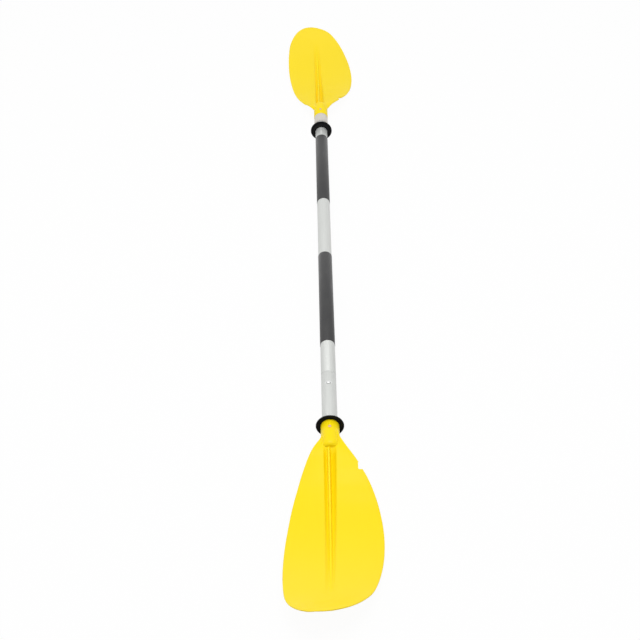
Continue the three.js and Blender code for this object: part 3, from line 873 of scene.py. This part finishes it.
def makeBlades(form, dip, sleeve, notch):
    mouth = -spanOf("near_blade")[1] + sleeve["overhang"] * mm
    piece = bladeShell("dressed_near_blade", form, dip, sleeve, mouth)
    print("blade pressed,", len(piece.data.polygons), "faces")
    r, out, turn, slope = (sleeve[k] for k in ("radius", "overhang", "endRound", "endSlope"))
    lip, cut, length = sleeve["lip"], sleeve["lipCut"] * sleeve["lip"], sleeve["length"]
    outline = [(-out, 0), (-out, r - lip), (-out + cut, r - cut), (lip - out, r)]
    angles = [math.pi / 2 * i / sleeve["endSteps"] for i in range(sleeve["endSteps"] + 1)]
    outline += [(length - slope + slope * math.sin(a), r - turn * (1 - math.cos(a))) for a in angles]
    outline.append((length, 0))
    outline = [(-(mouth + along * mm), off * mm) for along, off in outline]
    joinWith(piece, notchCutter(notch, mouth), "DIFFERENCE")
    joinWith(piece, turned("sleeve", outline, sleeve["steps"]), "UNION")
    bpy.ops.object.select_all(action="DESELECT")
    bore, boreTo, overrun = (sleeve[k] for k in ("bore", "boreTo", "overrun"))
    boreMiddle = mouth + (boreTo - overrun) / 2 * mm
    bpy.ops.mesh.primitive_cylinder_add(vertices=sleeve["steps"], radius=bore * mm,
                                        depth=(boreTo + overrun) * mm, rotation=(0, math.pi / 2, 0),
                                        location=(-boreMiddle, axisY, axisZ))
    joinWith(piece, bpy.context.object, "DIFFERENCE")
    boreDown(piece, rivetX["near"], sleeve["rivetHole"] * mm, sleeve["rivetHoleTop"] * mm)
    smoothUpTo(piece, form["smooth"])
    twin = bpy.data.objects.new("dressed_far_blade", piece.data.copy())  # the same moulding, mirrored
    bpy.context.scene.collection.objects.link(twin)
    for vertex in twin.data.vertices:
        vertex.co.x = -vertex.co.x
    twin.data.flip_normals()
    dress(piece, "near_blade")
    dress(twin, "far_blade", form["smooth"])
    print("blades made,", len(piece.data.polygons), "faces each")


rivetX = {side: sum(spanOf(side + "_blade_rivet")) / 2 for side in ("near", "far")}
makeBlades(bladeForm, channelForm, sleeveForm, notchForm)


# tubes
tubeForm = {"radius": 0.015, "bore": 0.0135, "steps": 144, "ease": 0.00015, "smooth": 32,
            "rivetHole": 0.0019, "buttonHole": 0.0048, "holeTop": 0.02}


def sleeveOutline(start, end, inner, outer):
    return [(start, inner), (start, outer), (end, outer), (end, inner)]


def tube(name, setup, holes):
    start, end = spanOf(name)
    outline = sleeveOutline(start, end, setup["bore"], setup["radius"])
    piece = turned(name, outline + outline[:1], setup["steps"], ease=setup["ease"])
    for x, radius in holes:
        boreDown(piece, x, radius, setup["holeTop"])
    dress(piece, name, setup["smooth"])


tube("main_shaft_tube", tubeForm, [(rivetX["far"], tubeForm["rivetHole"])])
tube("near_shaft_tube", tubeForm,
     [(rivetX["near"], tubeForm["rivetHole"]), (buttonX, tubeForm["buttonHole"])])
print("tubes turned")

# grips
gripForm = {"inner": 0.0151, "outer": 0.0155, "steps": 144, "ease": 0.00018, "smooth": 40}
for name in ("near_grip", "far_grip"):
    start, end = spanOf(name)
    outline = sleeveOutline(start, end, gripForm["inner"], gripForm["outer"])
    piece = turned(name, outline + outline[:1], gripForm["steps"], ease=gripForm["ease"])
    dress(piece, name, gripForm["smooth"])
print("grips drawn on")

# drip rings: cup towards the blade, hub towards the middle
ringForm = {
    "bore": 0.0153,
    "outer": 0.0272,
    "hub": 0.0215,
    "rim": 0.0036,
    "length": 0.01,
    "cup": 0.002,
    "lip": 0.0026,
    "round": 0.0015,
    "cut": 0.3,  # where the round's middle point lies, as a share of the round
    "steps": 144,
    "ease": 0.00045,
    "easeSteps": 3,
    "smooth": 50,
}


def dripRing(name, setup):
    start, end = spanOf(name)
    mouth, way = (start, 1) if start < 0 else (end, -1)
    bore, outer, hub, rim, length, cup, lip, r = (
        setup[k] for k in ("bore", "outer", "hub", "rim", "length", "cup", "lip", "round"))
    cut = r * setup["cut"]
    outline = [
        (cup, bore), (cup, hub - r), (r, outer - lip - r), (0, outer - lip),
        (0, outer - r), (cut, outer - cut), (r, outer),
        (rim - r, outer), (rim - cut, outer - cut), (rim, outer - r),
        (rim, hub), (length - r, hub - r / 2), (length - r / 5, hub - r), (length, hub - 1.5 * r),
        (length, bore + r), (length - r, bore),
    ]
    outline = [(mouth + way * along, off) for along, off in outline]
    piece = turned(name, outline + outline[:1], setup["steps"],
                   ease=setup["ease"], easeSteps=setup["easeSteps"])
    dress(piece, name, setup["smooth"])


for name in ("near_drip_ring", "far_drip_ring"):
    dripRing(name, ringForm)
print("drip rings moulded")

# collar
collarForm = {"inner": 0.0153, "outer": 0.0175, "nose": 0.0162, "taper": 0.009,
              "steps": 144, "ease": 0.0004, "easeFrom": 40, "smooth": 35}


def collar(name, setup):
    start, end = spanOf(name)
    inner, outer, nose, taper = (setup[k] for k in ("inner", "outer", "nose", "taper"))
    bulge = (outer + 2 * nose) / 3 + (outer - nose) / 4  # the taper is a little full
    outline = [
        (start, inner), (start, nose), (start + taper / 3, bulge),
        (start + taper, outer), (end, outer), (end, inner),
    ]
    piece = turned(name, outline + outline[:1], setup["steps"],
                   ease=setup["ease"], easeFrom=setup["easeFrom"])
    dress(piece, name, setup["smooth"])


collar("far_collar", collarForm)

# rivets: domed head with its drawn stem, shank and flared tail
rivetForm = {
    "outline": [
        (0.01894, 0), (0.01894, 0.00066), (0.0187, 0.00074), (0.0187, 0.00096), (0.01926, 0.00108),
        (0.0192, 0.00168), (0.01898, 0.00244), (0.0186, 0.00298), (0.0182, 0.0032),
        (0.0182, 0.0016), (0.0132, 0.0016), (0.0132, 0.00224), (0.0116, 0.00224), (0.0116, 0),
    ],
    "steps": 48,
    "ease": 0.00008,
    "smooth": 40,
}
for side in ("near", "far"):
    name = side + "_blade_rivet"
    piece = turned(name, rivetForm["outline"], rivetForm["steps"],
                   upright=rivetX[side], ease=rivetForm["ease"])
    dress(piece, name, rivetForm["smooth"])

# snap button
buttonForm = {"radius": 0.0045, "flange": 0.006, "flangeFrom": 0.008428, "flangeTo": 0.009628,
              "shoulder": 0.015733, "crest": 0.0172, "domeSteps": 10, "steps": 72,
              "ease": 0.0002, "easeFrom": 50, "smooth": 40}


def snapButton(name, setup):
    low, high, flange, radius, shoulder, crest = (
        setup[k] for k in ("flangeFrom", "flangeTo", "flange", "radius", "shoulder", "crest"))
    angles = [math.pi / 2 * i / setup["domeSteps"] for i in range(setup["domeSteps"])]
    dome = [(shoulder + (crest - shoulder) * math.sin(a), radius * math.cos(a)) for a in angles]
    outline = [(low, 0), (low, flange), (high, flange), (high, radius)] + dome + [(crest, 0)]
    piece = turned(name, outline, setup["steps"], upright=buttonX,
                   ease=setup["ease"], easeFrom=setup["easeFrom"])
    dress(piece, name, setup["smooth"])


snapButton("snap_button", buttonForm)
print("collar, rivets and button made")

# ferrule in the joint, and its end cap
ferruleForm = {"radius": 0.0132, "bore": 0.0116, "lead": 0.003, "leadDrop": 0.0008, "steps": 128,
               "ease": 0.00025, "easeFrom": 40, "smooth": 32, "holeTop": 0.015}
start, end = spanOf("joint_ferrule")
radius, bore, lead, drop = (ferruleForm[k] for k in ("radius", "bore", "lead", "leadDrop"))
outline = [(start, bore), (start, radius - drop), (start + lead, radius), (end, radius), (end, bore)]
piece = turned("joint_ferrule", outline + outline[:1], ferruleForm["steps"],
               ease=ferruleForm["ease"], easeFrom=ferruleForm["easeFrom"])
boreDown(piece, buttonX, tubeForm["buttonHole"], ferruleForm["holeTop"])
dress(piece, "joint_ferrule", ferruleForm["smooth"])

capForm = {"flange": 0.002, "radius": 0.0124, "plug": 0.0113, "steps": 96, "ease": 0.0004, "smooth": 40}
start, end = spanOf("ferrule_end_cap")
step, radius, plug = start + capForm["flange"], capForm["radius"], capForm["plug"]
outline = [(start, 0), (start, radius), (step, radius), (step, plug), (end, plug), (end, 0)]
piece = turned("ferrule_end_cap", outline, capForm["steps"], ease=capForm["ease"])
dress(piece, "ferrule_end_cap", capForm["smooth"])

# foam plugs
foamForm = {"radius": 0.0132, "steps": 72, "ease": 0.0009, "easeSteps": 4, "smooth": 40}
for name in ("near_foam_plug", "far_foam_plug"):
    start, end = spanOf(name)
    outline = [(start, 0), (start, foamForm["radius"]), (end, foamForm["radius"]), (end, 0)]
    piece = turned(name, outline, foamForm["steps"],
                   ease=foamForm["ease"], easeSteps=foamForm["easeSteps"])
    dress(piece, name, foamForm["smooth"])

# leaf spring under the button: the solid's own leaf with eased edges
springForm = {"merge": 0.00002, "flat": 2, "ease": 0.0002, "easeSteps": 2, "easeFrom": 50, "smooth": 40,
              "travel": 0.0041}
source = nodes["button_spring"]
piece = bpy.data.objects.new("dressed_button_spring", source.data.copy())
bpy.context.scene.collection.objects.link(piece)
pickOnly(piece)
bpy.ops.object.mode_set(mode="EDIT")
bpy.ops.mesh.select_all(action="SELECT")
bpy.ops.mesh.remove_doubles(threshold=springForm["merge"])
bpy.ops.mesh.dissolve_limited(angle_limit=math.radians(springForm["flat"]))
bpy.ops.object.mode_set(mode="OBJECT")
applyModifier(piece, "BEVEL", width=springForm["ease"], segments=springForm["easeSteps"],
              limit_method="ANGLE", angle_limit=math.radians(springForm["easeFrom"]))
dress(piece, "button_spring", springForm["smooth"])
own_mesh(piece)
print("dressed", len(nodes), "nodes")


# stage: white floor, even light
stageSetup = {
    "floor": 60,
    "paint": (0.82, 0.84),
    "cloud": (3, 2),
    "roughness": 0.9,
    "gloss": 0.1,
    "share": 0.96,  # how much of the floor that is seen glows by itself
    "ambient": 0.48,
    "key": ((-0.5, -0.15, 3.4), 68, 2.2),  # place, power and size
    "fill": ((0.4, 1.7, 2.8), 11, 2.2),
}


# 1 for what the camera, a gloss or a clear piece shows
def raysSeen(s):
    rays = s.tree.nodes.new("ShaderNodeLightPath")
    seen = Val(s.tree, rays.outputs["Is Camera Ray"])
    seen = seen.math("MAXIMUM", seen, Val(s.tree, rays.outputs["Is Glossy Ray"]))
    return seen.math("MAXIMUM", seen, Val(s.tree, rays.outputs["Is Transmission Ray"]))


def makeFloor(setup):
    bpy.ops.object.select_all(action="DESELECT")
    bpy.ops.mesh.primitive_plane_add(size=setup["floor"], location=(0, 0, 0))
    floor = bpy.context.object
    floor.name = "floor"
    s = Shader("floorPaint", Roughness=setup["roughness"], Specular_IOR_Level=setup["gloss"])
    low, high = setup["paint"]
    cloud = s.noise(s.place(), *setup["cloud"])
    s.feed("Base Color", s.mix(cloud, (low, low, low, 1), (high, high, high, 1)))
    glow = s.add("ShaderNodeEmission", Color=(1, 1, 1, 1), Strength=1.0)
    painted = Val(s.tree, s.bsdf.outputs[0])
    blend = s.add("ShaderNodeMixShader", i0=raysSeen(s) * setup["share"], i1=painted, i2=glow)
    s.tree.links.new(blend.socket, s.tree.nodes["Material Output"].inputs["Surface"])
    floor.data.materials.append(s.material)


class Sky(Shader):
    def __init__(self, name):
        self.world = bpy.data.worlds.new(name)
        self.world.use_nodes = True
        self.tree = self.world.node_tree
        self.background = self.tree.nodes["Background"]


def makeLight(setup):
    sky = Sky("studio")
    sky.background.inputs["Color"].default_value = (1, 1, 1, 1)
    level = raysSeen(sky) * (1 - setup["ambient"]) + setup["ambient"]
    sky.tree.links.new(level.socket, sky.background.inputs["Strength"])
    bpy.context.scene.world = sky.world
    for name in ("key", "fill"):
        place, power, size = setup[name]
        lamp = bpy.data.lights.new(name, "AREA")
        lamp.energy = power
        lamp.size = size
        holder = bpy.data.objects.new(name, lamp)
        bpy.context.scene.collection.objects.link(holder)
        holder.location = place
        holder.rotation_mode = "QUATERNION"
        holder.rotation_quaternion = (-Vector(place)).to_track_quat("-Z", "Y")


makeFloor(stageSetup)
makeLight(stageSetup)
bpy.context.scene.view_settings.view_transform = "Standard"
print("stage set")
